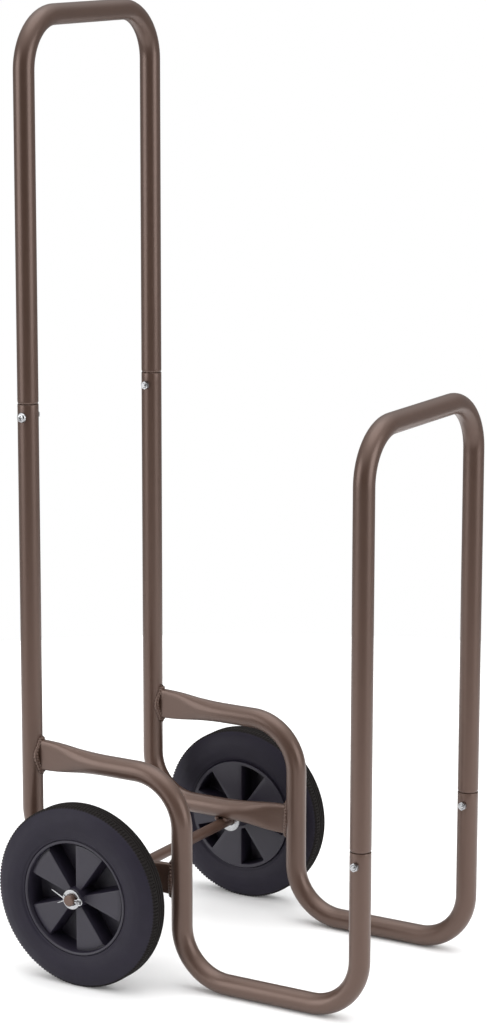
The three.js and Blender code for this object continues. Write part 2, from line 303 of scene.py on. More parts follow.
def open_mouth(points, directions, radii, sizes):
    """Ends a path in an open tube mouth: round the lip, then back down inside to a floor."""
    end, along = points[-1], directions[-1]
    lip = sizes.wall / 2
    turn = np.linspace(0, np.pi, 9)[1:, None]
    lip_points = end - along * lip * (1 - np.sin(turn))
    lip_radii = TUBE_R - lip * (1 - np.cos(turn[:, 0]))
    inside = end - along * np.linspace(2 * lip, MOUTH_DEPTH, 8)[:, None]
    points = np.concatenate([points[:-1], (end - along * lip)[None], lip_points, inside])
    count = 1 + len(lip_points) + len(inside)
    directions = np.concatenate([directions[:-1], np.broadcast_to(along, (count, 3))])
    bore = TUBE_R - sizes.wall
    radii = np.concatenate([radii[:-1], [TUBE_R], lip_radii, np.full(len(inside), bore)])
    return points, directions, radii


def neck_radii(height, joint_z, sizes):
    """Tube radius over height: full above the joint, and drawn in by the neck step below it, with a rounded
    shoulder that rises as sqrt(1 - (1 - h)^2)."""
    share = np.clip((height - joint_z - GAP) / SHOULDER_LENGTH, 0, 1)
    rise = np.sqrt(1 - (1 - share) ** 2)
    return TUBE_R - sizes.neck_step * (1 - rise)


def hoop(name, x, top_z, low_z, joint_z, sizes):
    """A bent hoop standing in a plane of constant X, with a swaged neck at each leg end."""
    y = HALF_TRACK
    heights = np.array([low_z, joint_z - 1 * MM])
    shoulder = joint_z + GAP + np.linspace(0, SHOULDER_LENGTH, 7)
    leg = np.concatenate([heights, shoulder])
    corners = [(x, -y, leg[-1] + 2 * MM), (x, -y, top_z), (x, y, top_z), (x, y, leg[-1] + 2 * MM)]
    points, directions = bent_path(corners, [sizes.bend_radius] * 2)
    rise = np.stack([np.full(len(leg), x), np.full(len(leg), -y), leg], -1)
    fall = rise[::-1] * (1, -1, 1)
    points = np.concatenate([rise, points, fall])
    straight_up = np.tile((0, 0, 1.0), (len(leg), 1))
    directions = np.concatenate([straight_up, directions, -straight_up])
    radii = neck_radii(points[:, 2], joint_z, sizes)
    return make_piece(name, sweep(points, directions, (1, 0, 0), radii, radii))


def press_flat(points, end_x, run_z, sizes):
    """Share from 0, round, to 1, pressed flat. It falls as (1 + cos pi d) / 2, where d is the distance
    from the end over the flattened length."""
    distance = np.clip(np.abs(points[:, 0] - end_x) / sizes.flat_length, 0, 1)
    on_run = np.abs(points[:, 2] - run_z) < TUBE_R
    return np.where(on_run, (1 + np.cos(np.pi * distance)) / 2, 0)


def pressed_tube(name, corners, radii, end_x, run_z, sizes):
    """A bent tube with one end pressed tall and thin against its neighbour and the other an open mouth."""
    points, directions = bent_path(corners, radii, 0.008)
    flat = press_flat(points, end_x, run_z, sizes)
    round_radii = np.full(len(points), TUBE_R)
    points, directions, round_radii = open_mouth(points, directions, round_radii, sizes)
    flat = np.concatenate([flat, np.zeros(len(points) - len(flat))])
    half_up = round_radii + flat * (FLAT_HALF_HEIGHT - TUBE_R)
    half_side = round_radii + flat * (FLAT_HALF_THICKNESS - TUBE_R)
    power = 2 + 2.6 * np.clip((flat - 0.35) / 0.5, 0, 1) ** 1.5
    return make_piece(name, sweep(points, directions, (0, 1, 0), half_side, half_up, power))


def rear_post(name, y, sizes):
    """Lower run from its pressed end under the drop, back round the bend and up to the handle joint."""
    end_x = DROP_X - TUBE_R + PRESS_OVERLAP
    corners = [(end_x, y, LOWER_RUN_Z), (REAR_X, y, LOWER_RUN_Z), (REAR_X, y, REAR_JOINT_Z)]
    return pressed_tube(name, corners, [sizes.post_bend_radius], end_x, LOWER_RUN_Z, sizes)


def side_rail(name, y, sizes):
    """Upper rail from its pressed end at the post, then the drop, the floor rail and the front leg."""
    end_x = REAR_X + TUBE_R - PRESS_OVERLAP
    low = TUBE_R
    corners = [(end_x, y, UPPER_RAIL_Z), (DROP_X, y, UPPER_RAIL_Z), (DROP_X, y, low),
               (FRONT_X, y, low), (FRONT_X, y, FRONT_JOINT_Z)]
    return pressed_tube(name, corners, [sizes.bend_radius] * 3, end_x, UPPER_RAIL_Z, sizes)


def weld_bead(name, path, thickness, sizes, closed=True):
    """A bead of overlapping ripples along a path: its radius is r (0.88 + 0.3 |sin(pi s / pitch)|), which
    slow sines of the distance s make uneven."""
    along = np.roll(path, -1, 0) - np.roll(path, 1, 0)
    if not closed:
        along[0], along[-1] = path[1] - path[0], path[-1] - path[-2]
    directions = unit(along)
    steps = np.linalg.norm(np.diff(path, axis=0), axis=1)
    s = np.concatenate([[0], np.cumsum(steps)])
    ripple = 0.88 + 0.3 * np.abs(np.sin(np.pi * s / sizes.weld_pitch))
    drift = 1 + 0.12 * np.sin(s / (7.3 * MM)) + 0.09 * np.sin(s / (3.1 * MM) + 1)
    radius = thickness * ripple * drift
    if not closed:
        share = np.linspace(0, 1, len(s))
        radius = radius * np.sqrt(np.clip(1 - (2 * share - 1) ** 8, 0.02, 1))
    first = unit(np.cross(directions, (0.31, 0.87, 0.39)))
    second = np.cross(directions, first)
    turn = np.linspace(0, 2 * np.pi, 14, endpoint=False)
    ring = np.cos(turn)[None, :, None] * first[:, None] + np.sin(turn)[None, :, None] * second[:, None]
    return make_piece(name, path[:, None] + radius[:, None, None] * ring, wrap_rows=closed, sharp=70)


def end_weld_path(post_x, facing, y, run_z, overrun=2.5 * MM):
    """A loop on a round tube's skin, round the pressed end of another: y = a cos^3 t, z = b sin t and
    x = sqrt(r^2 - y^2)."""
    turn = np.linspace(0, 2 * np.pi, 180, endpoint=False)
    across = (FLAT_HALF_THICKNESS + 2.6 * MM) * np.cos(turn) ** 3
    z = run_z + (FLAT_HALF_HEIGHT + overrun) * np.sin(turn)
    x = post_x + facing * np.sqrt((TUBE_R + 0.3 * MM) ** 2 - across ** 2)
    return np.stack([x, y + across, z], -1)


def axle_weld_path(side_of_axle, y):
    """A short line beside the axle, in the corner under the lower run."""
    share = np.linspace(-1, 1, 60)
    x = np.full(60, WHEEL_X + side_of_axle * (AXLE_R - 0.8 * MM))
    z = LOWER_RUN_Z - TUBE_R + 0.3 * MM - 1.5 * MM * (1 - share ** 2) + share ** 2 * 0.6 * MM
    return np.stack([x, y + share * 8.5 * MM, z], -1)


# ---------------------------------------------------------------- wheels and hardware

def tyre(name, side, sizes):
    """A solid tyre: a side outline mirrored about the middle, with grooves round the tread, r less
    exp(-(distance / half width)^4) at each, and notches in the half of the tread towards -Y, r less a dip
    at each pitch of the turn."""
    half = (TYRE_HIGH.y - TYRE_LOW.y) / 2
    rim_r, wheel_r = RIM_R / MM, WHEEL_R / MM
    wall = rounded(np.array([
        (rim_r + 0.2, 11.0), (rim_r + 0.3, 12.9), (rim_r + 2.6, 13.4), (rim_r + 4.4, 14.7),
        (rim_r + 13, half / MM), (wheel_r - 15, 15.5), (wheel_r - 7, 13.0), (wheel_r - 1.6, 10.2),
        (wheel_r, 8.6)]) * MM, 2.5 * MM, 6)
    across = np.linspace(8.4, -8.4, 57) * MM
    grooves = sum(np.exp(-((across - place) / GROOVE_HALF_WIDTH) ** 4) for place in GROOVE_PLACES)
    tread = np.stack([WHEEL_R - sizes.groove_depth * grooves, across], -1)
    profile = np.concatenate([wall, tread, wall[::-1] * (1, -1)])
    notches = int(2 * np.pi * WHEEL_R / sizes.tread_pitch)
    columns = notches * NOTCH_COLUMNS
    points = ring_points(profile, columns, (0, 0, 0))
    dip = np.array([0.0, 1.0, 1.0, 0.0, 0.0])[np.arange(columns) % NOTCH_COLUMNS]
    radius = profile[:, 0]
    edge = np.clip((-3.4 * MM - profile[:, 1]) / (0.8 * MM), 0, 1)
    edge = edge * np.clip((radius - (WHEEL_R - 3 * MM)) / (2 * MM), 0, 1)
    cut = NOTCH_DEPTH * edge[:, None] * dip[None, :]
    scale = 1 - cut / radius[:, None]
    points[..., 0] *= scale
    points[..., 2] *= scale
    centre = np.array([WHEEL_X, side * WHEEL_Y, WHEEL_Z])
    piece = make_piece(name, points + centre, wrap_rows=True, sharp=50)
    on_tread = np.clip((radius - (WHEEL_R - 2.2 * MM)) / (1.2 * MM), 0, 1)
    share = np.repeat(on_tread, columns)
    attribute = piece.data.attributes.new("tread", "FLOAT", "POINT")
    attribute.data.foreach_set("value", share.astype(np.float32))
    return piece


def rim_outline(sizes):
    """Rows of the rim's section, walked from the bore's front end out over the face and back behind it:
    radius, distance at a spoke, distance at a gap, and 1 where the row is on the back."""
    lip = 13.0
    face = lip + 0.6 - sizes.spoke_recess / MM
    floor, back, under = -12.5, -15.0, face - 2.5
    hub_out, hub_in = HUB_OUTER_Y / MM, HUB_INNER_Y / MM
    rim_r = RIM_R / MM
    rows = [(6.4, hub_out - 0.6, hub_out - 0.6, 0), (6.9, hub_out, hub_out, 0), (10.3, hub_out, hub_out, 0),
            (10.9, hub_out - 0.7, hub_out - 0.7, 0), (11.2, face + 0.7, floor + 1.5, 0),
            (11.6, face + 0.15, floor + 0.5, 0), (12.4, face, floor, 0)]
    rows += [(r, face, floor, 0) for r in (18, 26, 34, 42, 50)]
    rows += [(rim_r - 6.2, face, floor, 0), (rim_r - 5.7, face - 0.25, floor, 0),
             (rim_r - 5.45, face - 1.8, floor, 0),
             (rim_r - 3.9, face - 1.8, floor + 0.2, 0), (rim_r - 3.5, face - 1.2, floor + 1.2, 0),
             (rim_r - 3.3, lip - 0.6, lip - 0.6, 0), (rim_r - 2.9, lip + 0.1, lip + 0.1, 0),
             (rim_r - 2.0, lip + 0.6, lip + 0.6, 0), (rim_r - 0.9, lip + 0.55, lip + 0.55, 0),
             (rim_r - 0.1, lip - 0.1, lip - 0.1, 0), (rim_r, lip - 0.9, lip - 0.9, 0)]
    rows += [(rim_r, -14.2, -14.2, 1), (rim_r - 0.5, back, back, 1), (rim_r - 3.6, back, back, 1),
             (rim_r - 4.2, back + 0.8, back, 1), (rim_r - 4.6, under - 0.8, back, 1),
             (rim_r - 5.4, under, back, 1)]
    rows += [(r, under, back, 1) for r in (46, 36, 26, 19)]
    rows += [(16.6, under - 0.8, back, 1), (16.0, back + 0.6, back, 1), (14.6, back, back, 1),
             (13.2, back - 0.3, back - 0.3, 1), (12.4, back - 2, back - 2, 1),
             (11.2, hub_in + 0.8, hub_in + 0.8, 1),
             (10.6, hub_in, hub_in, 1), (6.9, hub_in, hub_in, 1), (6.4, hub_in + 0.6, hub_in + 0.6, 1)]
    return np.array(rows) * (MM, MM, MM, 1)


def rim(name, side, sizes):
    """A moulded wheel centre. Round the turn, the outline swaps between a spoke, closed at the front, and a
    gap, closed at the back, over a wall that keeps its thickness in millimetres at every radius:
    angle = edge + offset / radius, distance = gap + (spoke - gap) * share."""
    radius, at_spoke, at_gap, behind = rim_outline(sizes).T
    front_offset = np.array([-0.8, -0.25, 0.0, 0.5, 1.1]) * MM
    front_share = np.array([1, 0.993, 0.972, 0.03, 0])
    back_offset = np.array([-3.7, -3.1, -2.6, -2.35, -1.8]) * MM
    back_share = np.array([1, 0.97, 0.03, 0.007, 0])
    half = math.pi / sizes.spoke_count / 2
    rows, fill_columns = len(radius), 9
    on_back = behind[:, None]
    offset = front_offset * (1 - on_back) + back_offset * on_back
    share = front_share * (1 - on_back) + back_share * on_back
    right_edge = half + offset / radius[:, None]
    left_edge = -right_edge[:, ::-1]
    spoke_fill = np.tile(np.linspace(-0.8, 0.8, fill_columns) * half, (rows, 1))
    gap_fill = np.tile(np.linspace(1.2, 2.8, fill_columns) * half, (rows, 1))
    room = (half - BACK_WALL / radius) / (0.8 * half)
    spoke_fill *= np.where(on_back > 0, np.clip(room, 0.05, 1)[:, None], 1)
    period = np.concatenate([left_edge, spoke_fill, right_edge, gap_fill], 1)
    mix = np.concatenate([
        share[:, ::-1], np.ones((rows, fill_columns)), share, np.zeros((rows, fill_columns))], 1)
    turns = np.arange(sizes.spoke_count)[:, None] * 2 * math.pi / sizes.spoke_count
    angle = (period[:, None, :] + turns[None, :, :]).reshape(rows, -1)
    mix = np.broadcast_to(mix[:, None, :], (rows, sizes.spoke_count, mix.shape[1])).reshape(rows, -1)
    distance = at_gap[:, None] + (at_spoke - at_gap)[:, None] * mix
    x = WHEEL_X + radius[:, None] * np.cos(angle)
    z = WHEEL_Z + radius[:, None] * np.sin(angle)
    points = np.stack([x, side * (WHEEL_Y + distance), z], -1)
    return make_piece(name, points, wrap_rows=True, sharp=35)


def turned_piece(name, outline, y, outward, segments=64, edge=0.3 * MM, ring=False):
    """A part turned about the axle's line from an outline in millimetres, with its corners eased."""
    profile = np.asarray(outline, float) * MM
    if ring:
        start = (profile[:1] + profile[1:2]) / 2
        profile = rounded(np.concatenate([start, profile[1:], profile[:1], start]), edge, 4)[:-1]
    else:
        profile = rounded(profile, edge, 4)
    points = ring_points(profile, segments, (WHEEL_X, y, WHEEL_Z), outward)
    return make_piece(name, points, wrap_rows=ring)


def washer(name):
    """A flat ring where the frame has its washer, with stamped, slightly rounded edges."""
    low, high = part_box(name)
    half, outer = (high.y - low.y) / 2 / MM, (high.z - low.z) / 2 / MM
    outline = [(AXLE_R / MM + 0.4, -half), (outer, -half), (outer, half), (AXLE_R / MM + 0.4, half)]
    return turned_piece(f"{name}_ring", outline, (low.y + high.y) / 2, 1.0, 72, 0.35 * MM, True)


def axle_bar():
    """A round bar through both wheels with chamfered ends."""
    end, r = AXLE_HIGH.y / MM, AXLE_R / MM
    half_bar = [(r, 0), (r, 150), (r, end - 1), (r - 1, end), (0.05, end)]
    outline = [(radius, -y) for radius, y in half_bar[:0:-1]] + half_bar
    return turned_piece("axle_bar", outline, 0.0, 1.0, 48, 0.4 * MM)


def split_pin(name, y):
    """Wire bent to an eye in front of the axle and two legs through it that splay behind it, long one up.
    The line is legs with eased corners joined to an arc, eye centre + R (cos a, sin a)."""
    exit_x, leg, eye = AXLE_R + 1 * MM, 1.05 * MM, PIN_EYE_R
    eye_x = exit_x + eye + 1.5 * MM
    turn = np.radians(np.linspace(152, -152, 40))
    arc = np.stack([eye_x + eye * np.cos(turn), eye * np.sin(turn)], -1)
    upper = np.array([(-exit_x - 15 * MM, 8.2 * MM), (-exit_x - 0.5 * MM, leg + 0.3 * MM),
                      (-exit_x + 1 * MM, leg), (exit_x, leg)])
    lower = np.array([(exit_x, -leg), (-exit_x + 1 * MM, -leg),
                      (-exit_x - 0.5 * MM, -leg - 0.3 * MM), (-exit_x - 8 * MM, -5 * MM)])
    line = np.concatenate([rounded(upper, 2 * MM), arc, rounded(lower, 2 * MM)])
    path = np.stack([WHEEL_X + line[:, 0], np.full(len(line), y), WHEEL_Z + line[:, 1]], -1)
    gradient = np.gradient(path, axis=0)
    radii = np.full(len(path), PIN_WIRE_R)
    radii[[0, -1]] *= 0.55
    return make_piece(f"{name}_wire", sweep(path, unit(gradient), (0, 1, 0), radii, radii, None, 16))


def place_along_y(points, centre, outward):
    """Points made about the Y axis, turned half round about X where they face -Y, and carried to a
    centre."""
    return points * (1, outward, outward) + np.asarray(centre, float)


def screw(name, outward):
    """A pan-head cross-recess screw through a tube. The head's face is a dome less a cross-shaped dip,
    and the shank is threaded: r = r0 - h |2 frac(turn + distance / pitch) - 1|."""
    centre = np.array([*middle(name)])
    low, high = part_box(name)
    head_r = (high.z - low.z) / 2 / MM
    reach = (high.y - low.y) / MM
    seat = TUBE_R / MM + GAP / MM
    columns = 96
    turn = np.linspace(0, 2 * np.pi, columns, endpoint=False)
    dome = np.concatenate([np.linspace(0.15, 3.4, 16), [3.9, 4.4, 4.8, 5.1, head_r]])
    shoulder = np.clip((dome - 3.2) / (head_r - 3.2), 0, 1)
    crown = seat + HEAD_HEIGHT_MM - 0.12 * (dome / 3) ** 2 - 1.9 * shoulder ** 2.2
    x, z = dome[:, None] * np.cos(turn), dome[:, None] * np.sin(turn)
    arm = np.clip((0.62 - np.minimum(np.abs(x), np.abs(z))) / 0.2, 0, 1)
    bit = arm * np.clip((2.5 - dome[:, None]) / 0.25, 0, 1)
    top = crown[:, None] - 1.7 * bit
    tip = seat - reach + HEAD_HEIGHT_MM
    s = np.linspace(-seat + 1.0, tip + 0.4, 120)
    thread = np.abs(((turn[None, :] / (2 * np.pi) + s[:, None] / THREAD_PITCH_MM) % 1) * 2 - 1)
    barrel = SHANK_R_MM - THREAD_DEPTH_MM * thread
    skirt = [(head_r, seat + 0.25), (head_r - 0.3, seat), (SHANK_R_MM, seat), (SHANK_R_MM, -seat + 1.2)]
    shank_surface = np.stack([barrel * np.cos(turn), s[:, None] + 0 * barrel, barrel * np.sin(turn)], -1)
    points = np.concatenate([
        np.stack([x, top, z], -1), ring_points(skirt, columns, (0, 0, 0)), shank_surface,
        ring_points([(1.9, tip), (0.1, tip)], columns, (0, 0, 0))]) * MM
    tube_middle = (centre[0], math.copysign(HALF_TRACK, centre[1]), centre[2])
    return make_piece(f"{name}_steel", place_along_y(points, tube_middle, outward), sharp=32)


def nut(name, outward):
    """A chamfered hexagon nut: at each turn t the side is at r = a / cos(t mod 60), and both faces fall
    away past the chamfer circle at 30 degrees."""
    centre = middle(name)
    low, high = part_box(name)
    half, flat = (high.y - low.y) / 2 / MM, (high.x - low.x) / 2 / MM
    columns = 144
    turn = np.linspace(0, 2 * np.pi, columns, endpoint=False)
    hexagon = flat / np.cos((turn + np.pi / 6) % (np.pi / 3) - np.pi / 6)
    face = 0.97 * flat
    fall = np.clip(hexagon - face, 0, None) * math.tan(math.radians(30))
    bore_r, countersink_r, face_r, level = (np.full(columns, value) for value in (2.5, 2.95, face, half))
    rows = [(bore_r, level - 0.4), (countersink_r, level), (face_r, level),
            (hexagon, half - fall), (hexagon, -(half - fall)), (face_r, -level),
            (countersink_r, -level), (bore_r, -level + 0.4)]
    points = np.stack([np.stack([r * np.cos(turn), d, r * np.sin(turn)], -1) for r, d in rows]) * MM
    return make_piece(f"{name}_hex", place_along_y(points, centre, outward), wrap_rows=True, sharp=28)


# ---------------------------------------------------------------- materials

def add(tree, kind, inputs=None, links=None, **settings):
    """Adds a node with its settings, its input values and its links from other nodes' outputs."""
    node = tree.nodes.new(kind)
    for key, value in settings.items():
        setattr(node, key, value)
    for key, value in (inputs or {}).items():
        node.inputs[key].default_value = value
    for key, output in (links or {}).items():
        tree.links.new(output, node.inputs[key])
    return node


def blank_material(name):
    """A material with an empty tree, its output and its object coordinates."""
    material = bpy.data.materials.new(name)
    material.use_nodes = True
    tree = material.node_tree
    tree.nodes.clear()
    output = add(tree, "ShaderNodeOutputMaterial")
    place = add(tree, "ShaderNodeTexCoord").outputs["Object"]
    return material, tree, output, place


def shade(value, factor):
    """A colour scaled in brightness, with full alpha."""
    return (*(min(1.0, c * factor) for c in value), 1.0)


def mottled(tree, place, value, size, spread):
    """A colour that drifts by the given spread over patches of a real size in metres."""
    noise = add(tree, "ShaderNodeTexNoise", {"Scale": 1 / size, "Detail": 3.0}, {"Vector": place})
    ramp = add(tree, "ShaderNodeValToRGB", None, {"Fac": noise.outputs["Fac"]})
    ramp.color_ramp.elements[0].position = 0.3
    ramp.color_ramp.elements[0].color = shade(value, 1 - spread)
    ramp.color_ramp.elements[1].position = 0.7
    ramp.color_ramp.elements[1].color = shade(value, 1 + spread)
    return ramp.outputs["Color"]


def grain_bump(tree, place, size, height, detail=2.0):
    """A bump of grain of a real size and height in metres."""
    noise = add(tree, "ShaderNodeTexNoise", {"Scale": 1 / size, "Detail": detail}, {"Vector": place})
    bump = add(tree, "ShaderNodeBump", {"Strength": 1.0, "Distance": height},
               {"Height": noise.outputs["Fac"]})
    return bump.outputs["Normal"]


def varied_roughness(tree, place, size, low, high):
    """Roughness that drifts between two values over patches of a real size in metres."""
    noise = add(tree, "ShaderNodeTexNoise", {"Scale": 1 / size, "Detail": 4.0}, {"Vector": place})
    spread = add(tree, "ShaderNodeMapRange", {"To Min": low, "To Max": high},
                 {"Value": noise.outputs["Fac"]})
    return spread.outputs["Result"]


def powder_coat(colours):
    """Polyester powder coat on steel, sprayed and baked: a semi-matt bronze brown whose fine orange peel,
    about 1.2 mm across, softens long highlights."""
    material, tree, output, place = blank_material("powder_coated_steel_bronze")
    base = mottled(tree, place, colours.paint, 0.03, 0.03)
    shader = add(
        tree, "ShaderNodeBsdfPrincipled",
        {"IOR": 1.5, "Specular IOR Level": 0.9, "Specular Tint": (*colours.sheen, 1)},
        {"Base Color": base, "Roughness": varied_roughness(tree, place, 0.006, 0.31, 0.37),
         "Normal": grain_bump(tree, place, 0.0012, 0.00002)})
    tree.links.new(shader.outputs["BSDF"], output.inputs["Surface"])
    return material


def tyre_rubber(colours):
    """Solid moulded rubber: a smooth satin sidewall with a faint bloom, and a duller, browner tread."""
    material, tree, output, place = blank_material("moulded_tyre_rubber")
    side = mottled(tree, place, colours.rubber, 0.018, 0.08)
    tread = mottled(tree, place, colours.tread, 0.004, 0.15)
    share = add(tree, "ShaderNodeAttribute", attribute_name="tread").outputs["Fac"]
    base = add(tree, "ShaderNodeMix", None, {0: share, 6: side, 7: tread}, data_type="RGBA")
    roughness = add(tree, "ShaderNodeMapRange", {"To Max": 0.85},
                    {"Value": share, "To Min": varied_roughness(tree, place, 0.01, 0.5, 0.62)})
    shader = add(
        tree, "ShaderNodeBsdfPrincipled", {"IOR": 1.52, "Specular IOR Level": 0.22},
        {"Base Color": base.outputs[2], "Roughness": roughness.outputs["Result"],
         "Normal": grain_bump(tree, place, 0.0015, 0.00004, 4.0)})
    tree.links.new(shader.outputs["BSDF"], output.inputs["Surface"])
    return material


def wheel_plastic(colours):
    """Injection-moulded polypropylene: black with a slate cast and a fine spark-eroded grain of 0.8 mm."""
    material, tree, output, place = blank_material("moulded_polypropylene_black")
    base = mottled(tree, place, colours.plastic, 0.02, 0.04)
    shader = add(
        tree, "ShaderNodeBsdfPrincipled", {"IOR": 1.49},
        {"Base Color": base, "Roughness": varied_roughness(tree, place, 0.004, 0.42, 0.52),
         "Normal": grain_bump(tree, place, 0.0008, 0.00002)})
    tree.links.new(shader.outputs["BSDF"], output.inputs["Surface"])
    return material


def zinc_plate(colours):
    """Bright zinc electroplate on steel: a clear metallic grey with faint cloudy patches in its gloss."""
    material, tree, output, place = blank_material("bright_zinc_plated_steel")
    base = mottled(tree, place, colours.zinc, 0.003, 0.05)
    shader = add(
        tree, "ShaderNodeBsdfPrincipled", {"Metallic": 1.0},
        {"Base Color": base, "Roughness": varied_roughness(tree, place, 0.0015, 0.2, 0.34),
         "Normal": grain_bump(tree, place, 0.0006, 0.000006)})
    tree.links.new(shader.outputs["BSDF"], output.inputs["Surface"])
    return material


def floor_material(colours):
    """Pale matt studio paper, lifted a little so that it looks white and keeps its soft shadows."""
    material, tree, output, _ = blank_material("matt_studio_paper")
    shader = add(tree, "ShaderNodeBsdfPrincipled", {
        "Base Color": (*colours.floor, 1), "Roughness": 0.9, "Specular IOR Level": 0.1,
        "Emission Color": (1, 1, 1, 1), "Emission Strength": 0.04})
    tree.links.new(shader.outputs["BSDF"], output.inputs["Surface"])
    return material


MADE_MATERIALS = {}


def material_once(maker, colours):
    """Makes each material once and hands out the same one after that."""
    if maker not in MADE_MATERIALS:
        MADE_MATERIALS[maker] = maker(colours)
    return MADE_MATERIALS[maker]


# ---------------------------------------------------------------- operators

class RackOperator:
    """What every building step shares."""

    bl_options = {"REGISTER", "UNDO"}

    def settings(self, context):
        return context.scene.rack_sizes, context.scene.rack_colours


class RACK_OT_hoops(RackOperator, bpy.types.Operator):
    """Build the push-handle hoop and the front hoop"""

    bl_idname = "rack.hoops"
    bl_label = "Hoops"

    def execute(self, context):
        sizes, colours = self.settings(context)
        paint = material_once(powder_coat, colours)
        handle = hoop("handle_tube", REAR_X, HOOP_HIGH.z - TUBE_R, HOOP_LOW.z, REAR_JOINT_Z, sizes)
        finish_piece(handle, FRAME_BODY, "frame_paint", paint, "handle_hoop")
        front = hoop("front_tube", FRONT_X, FRONT_HIGH.z - TUBE_R, FRONT_LOW.z, FRONT_JOINT_Z, sizes)
        finish_piece(front, FRAME_BODY, "frame_paint", paint, "front_hoop")
        return {"FINISHED"}


class RACK_OT_side_frames(RackOperator, bpy.types.Operator):
    """Build the rear posts and the side rails"""

    bl_idname = "rack.side_frames"
    bl_label = "Side frames"

    def execute(self, context):
        sizes, colours = self.settings(context)
        paint = material_once(powder_coat, colours)
        for name, side in SIDES:
            y = side * HALF_TRACK
            post = rear_post(f"post_tube_{name}", y, sizes)
            finish_piece(post, FRAME_BODY, "frame_paint", paint, f"rear_post_{name}")
            rail = side_rail(f"rail_tube_{name}", y, sizes)
            finish_piece(rail, FRAME_BODY, "frame_paint", paint, f"side_rail_{name}")
        return {"FINISHED"}


class RACK_OT_welds(RackOperator, bpy.types.Operator):
    """Build the weld beads where the tubes and the axle meet"""

    bl_idname = "rack.welds"
    bl_label = "Welds"

    def execute(self, context):
        sizes, colours = self.settings(context)
        paint = material_once(powder_coat, colours)
        for name, side in SIDES:
            y = side * HALF_TRACK
            upper = end_weld_path(REAR_X, 1, y, UPPER_RAIL_Z)
            lower = end_weld_path(DROP_X, -1, y, LOWER_RUN_Z)
            beads = [
                weld_bead(f"weld_rail_{name}", upper, sizes.weld_radius, sizes),
                weld_bead(f"weld_run_{name}", lower, sizes.weld_radius, sizes),
            ]
            for place, side_of_axle in (("front", 1), ("rear", -1)):
                path = axle_weld_path(side_of_axle, y)
                beads.append(weld_bead(f"weld_axle_{place}_{name}", path, 2 * MM, sizes, False))
            for bead in beads:
                finish_piece(bead, FRAME_BODY, "frame_paint", paint)
        return {"FINISHED"}


class RACK_OT_axle(RackOperator, bpy.types.Operator):
    """Build the axle bar"""

    bl_idname = "rack.axle"
    bl_label = "Axle"

    def execute(self, context):
        _, colours = self.settings(context)
        paint = material_once(powder_coat, colours)
        finish_piece(axle_bar(), FRAME_BODY, "frame_paint", paint, "axle")
        return {"FINISHED"}


class RACK_OT_wheels(RackOperator, bpy.types.Operator):
    """Build the tyres and the moulded wheel centres"""

    bl_idname = "rack.wheels"
    bl_label = "Wheels"

    def execute(self, context):
        sizes, colours = self.settings(context)
        rubber = material_once(tyre_rubber, colours)
        plastic = material_once(wheel_plastic, colours)
        for name, side in SIDES:
            body = f"wheel_{name}"
            solid = tyre(f"tyre_solid_{name}", side, sizes)
            finish_piece(solid, body, "tyre_rubber", rubber, f"tyre_{name}")
            centre = rim(f"wheel_centre_{name}", side, sizes)
            finish_piece(centre, body, "wheel_plastic", plastic, f"rim_{name}")
        return {"FINISHED"}


class RACK_OT_hardware(RackOperator, bpy.types.Operator):
    """Build the washers, split pins, screws and nuts"""

    bl_idname = "rack.hardware"
    bl_label = "Hardware"

    def execute(self, context):
        _, colours = self.settings(context)
        zinc = material_once(zinc_plate, colours)
        made = []
        for name, _ in SIDES:
            for node in (f"outer_washer_{name}", f"inner_washer_{name}"):
                made.append((washer(node), node))
            pin = f"split_pin_{name}"
            made.append((split_pin(pin, middle(pin).y), pin))
            for end in ("rear", "front"):
                head, hexagon = f"screw_{end}_{name}", f"nut_{end}_{name}"
                outward = math.copysign(1, middle(head).y - middle(hexagon).y)
                made.append((screw(head, outward), head))
                made.append((nut(hexagon, outward), hexagon))
        for piece, node in made:
            finish_piece(piece, FRAME_BODY, "zinc_plate", zinc, node)
        return {"FINISHED"}


CAMERA_PLACE = (1.5982, -2.7037, 1.1470)
CAMERA_YAW = math.radians(30.733)
CAMERA_PITCH = math.radians(11.909)
CAMERA_ROLL = math.radians(0.086)
CAMERA_LENS = 108.28
FLOOR_R = 1.4
FLOOR_CORNERS = 96
LIGHT_TARGET = (0, 0, 0.6)
TENT_STRENGTH = 0.36
OPENING_STRENGTH = 0.04


def studio_camera():
    """A camera whose view runs along (-sin yaw cos pitch, cos yaw cos pitch, -sin pitch)."""
    forward = Vector((-math.sin(CAMERA_YAW) * math.cos(CAMERA_PITCH),
                      math.cos(CAMERA_YAW) * math.cos(CAMERA_PITCH), -math.sin(CAMERA_PITCH)))
    across = Vector((math.cos(CAMERA_YAW), math.sin(CAMERA_YAW), 0))
    upward = across.cross(forward)
    c, s = math.cos(CAMERA_ROLL), math.sin(CAMERA_ROLL)
    right, up = c * across + s * upward, c * upward - s * across
    data = bpy.data.cameras.new("studio_camera")
    data.lens = CAMERA_LENS
    data.clip_end = 200
    camera = bpy.data.objects.new("studio_camera", data)
    turn = Matrix((right, up, -forward)).transposed().to_4x4()
    camera.matrix_world = Matrix.Translation(CAMERA_PLACE) @ turn
    bpy.context.scene.collection.objects.link(camera)
    bpy.context.scene.camera = camera


def soft_box(name, place, target, width, height, power):
    """A rectangular area light at a place, aimed at a target."""
    data = bpy.data.lights.new(name, "AREA")
    data.shape = "RECTANGLE"
    data.size, data.size_y, data.energy = width, height, power
    light = bpy.data.objects.new(name, data)
    light.location = place
    light.rotation_euler = (Vector(target) - Vector(place)).to_track_quat("-Z", "Y").to_euler()
    bpy.context.scene.collection.objects.link(light)


